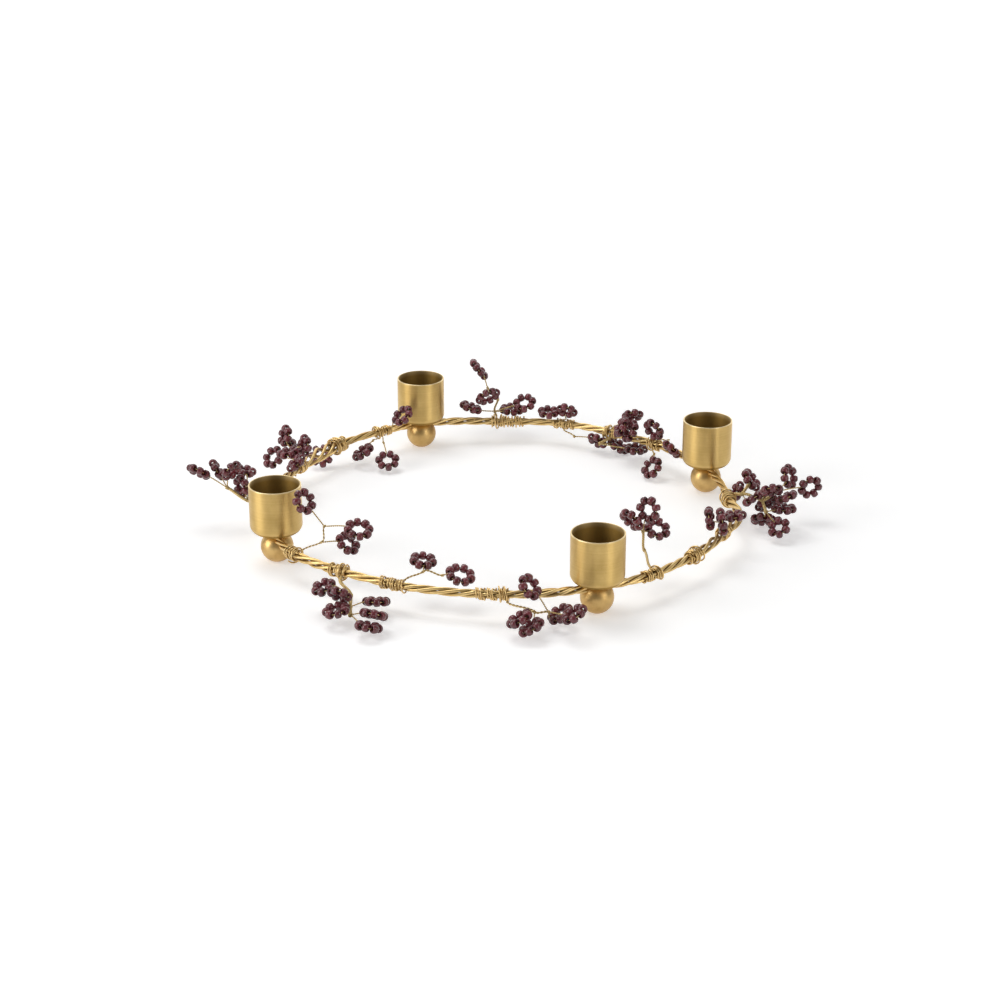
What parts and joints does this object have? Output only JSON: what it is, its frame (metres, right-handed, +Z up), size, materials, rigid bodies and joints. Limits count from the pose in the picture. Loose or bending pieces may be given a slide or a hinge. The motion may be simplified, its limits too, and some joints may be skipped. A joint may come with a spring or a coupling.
{
  "type": "candle ring",
  "caption": "Twisted-wire brass ring on ball feet with open candle cups and wired sprigs of dark red glass seed beads, a table decoration for taper candles.",
  "frame": {"origin": "centre of the ring on the surface it stands on", "axes": "+Z up; the picture is taken from the -Y side, so +X is its right"},
  "size_m": [0.3018, 0.2718, 0.0414],
  "materials": {
    "cup_brass": "satin, brushed round the cup",
    "ball_brass": "satin, light handling marks",
    "ring_wire_brass": "satin, slightly toned",
    "winding_brass": "satin, toned in the grooves",
    "sprig_wire_brass": "fine twisted wire",
    "bead_glass": "dark red glass, near opaque, polished"
  },
  "bodies": {
    "root": {"ball_foot_front_left": "ball_brass", "ball_foot_front_right": "ball_brass", "ball_foot_rear_left": "ball_brass", "ball_foot_rear_right": "ball_brass", "binding_wire_front_1": "winding_brass", "binding_wire_front_2": "winding_brass", "binding_wire_front_3": "winding_brass", "binding_wire_front_4": "winding_brass", "binding_wire_left_1": "winding_brass", "binding_wire_left_2": "winding_brass", "binding_wire_left_3": "winding_brass", "binding_wire_left_4": "winding_brass", "binding_wire_rear_1": "winding_brass", "binding_wire_rear_2": "winding_brass", "binding_wire_rear_3": "winding_brass", "binding_wire_rear_4": "winding_brass", "binding_wire_right_1": "winding_brass", "binding_wire_right_2": "winding_brass", "binding_wire_right_3": "winding_brass", "binding_wire_right_4": "winding_brass", "candle_cup_front_left": "cup_brass", "candle_cup_front_right": "cup_brass", "candle_cup_rear_left": "cup_brass", "candle_cup_rear_right": "cup_brass", "ring_wires_front": "ring_wire_brass", "ring_wires_left": "ring_wire_brass", "ring_wires_rear": "ring_wire_brass", "ring_wires_right": "ring_wire_brass", "sprig_beads_front_1": "bead_glass", "sprig_beads_front_2": "bead_glass", "sprig_beads_front_3": "bead_glass", "sprig_beads_front_4": "bead_glass", "sprig_beads_left_1_high": "bead_glass", "sprig_beads_left_1_low": "bead_glass", "sprig_beads_left_2": "bead_glass", "sprig_beads_left_3": "bead_glass", "sprig_beads_left_4": "bead_glass", "sprig_beads_rear_1": "bead_glass", "sprig_beads_rear_2": "bead_glass", "sprig_beads_rear_3": "bead_glass", "sprig_beads_rear_4": "bead_glass", "sprig_beads_right_1": "bead_glass", "sprig_beads_right_3": "bead_glass", "sprig_beads_right_4": "bead_glass", "sprig_wire_front_1": "sprig_wire_brass", "sprig_wire_front_2": "sprig_wire_brass", "sprig_wire_front_3": "sprig_wire_brass", "sprig_wire_front_4": "sprig_wire_brass", "sprig_wire_left_1_high": "sprig_wire_brass", "sprig_wire_left_1_low": "sprig_wire_brass", "sprig_wire_left_2": "sprig_wire_brass", "sprig_wire_left_3": "sprig_wire_brass", "sprig_wire_left_4": "sprig_wire_brass", "sprig_wire_rear_1": "sprig_wire_brass", "sprig_wire_rear_2": "sprig_wire_brass", "sprig_wire_rear_3": "sprig_wire_brass", "sprig_wire_rear_4": "sprig_wire_brass", "sprig_wire_right_1": "sprig_wire_brass", "sprig_wire_right_3": "sprig_wire_brass", "sprig_wire_right_4": "sprig_wire_brass"}
  },
  "joints": []
}
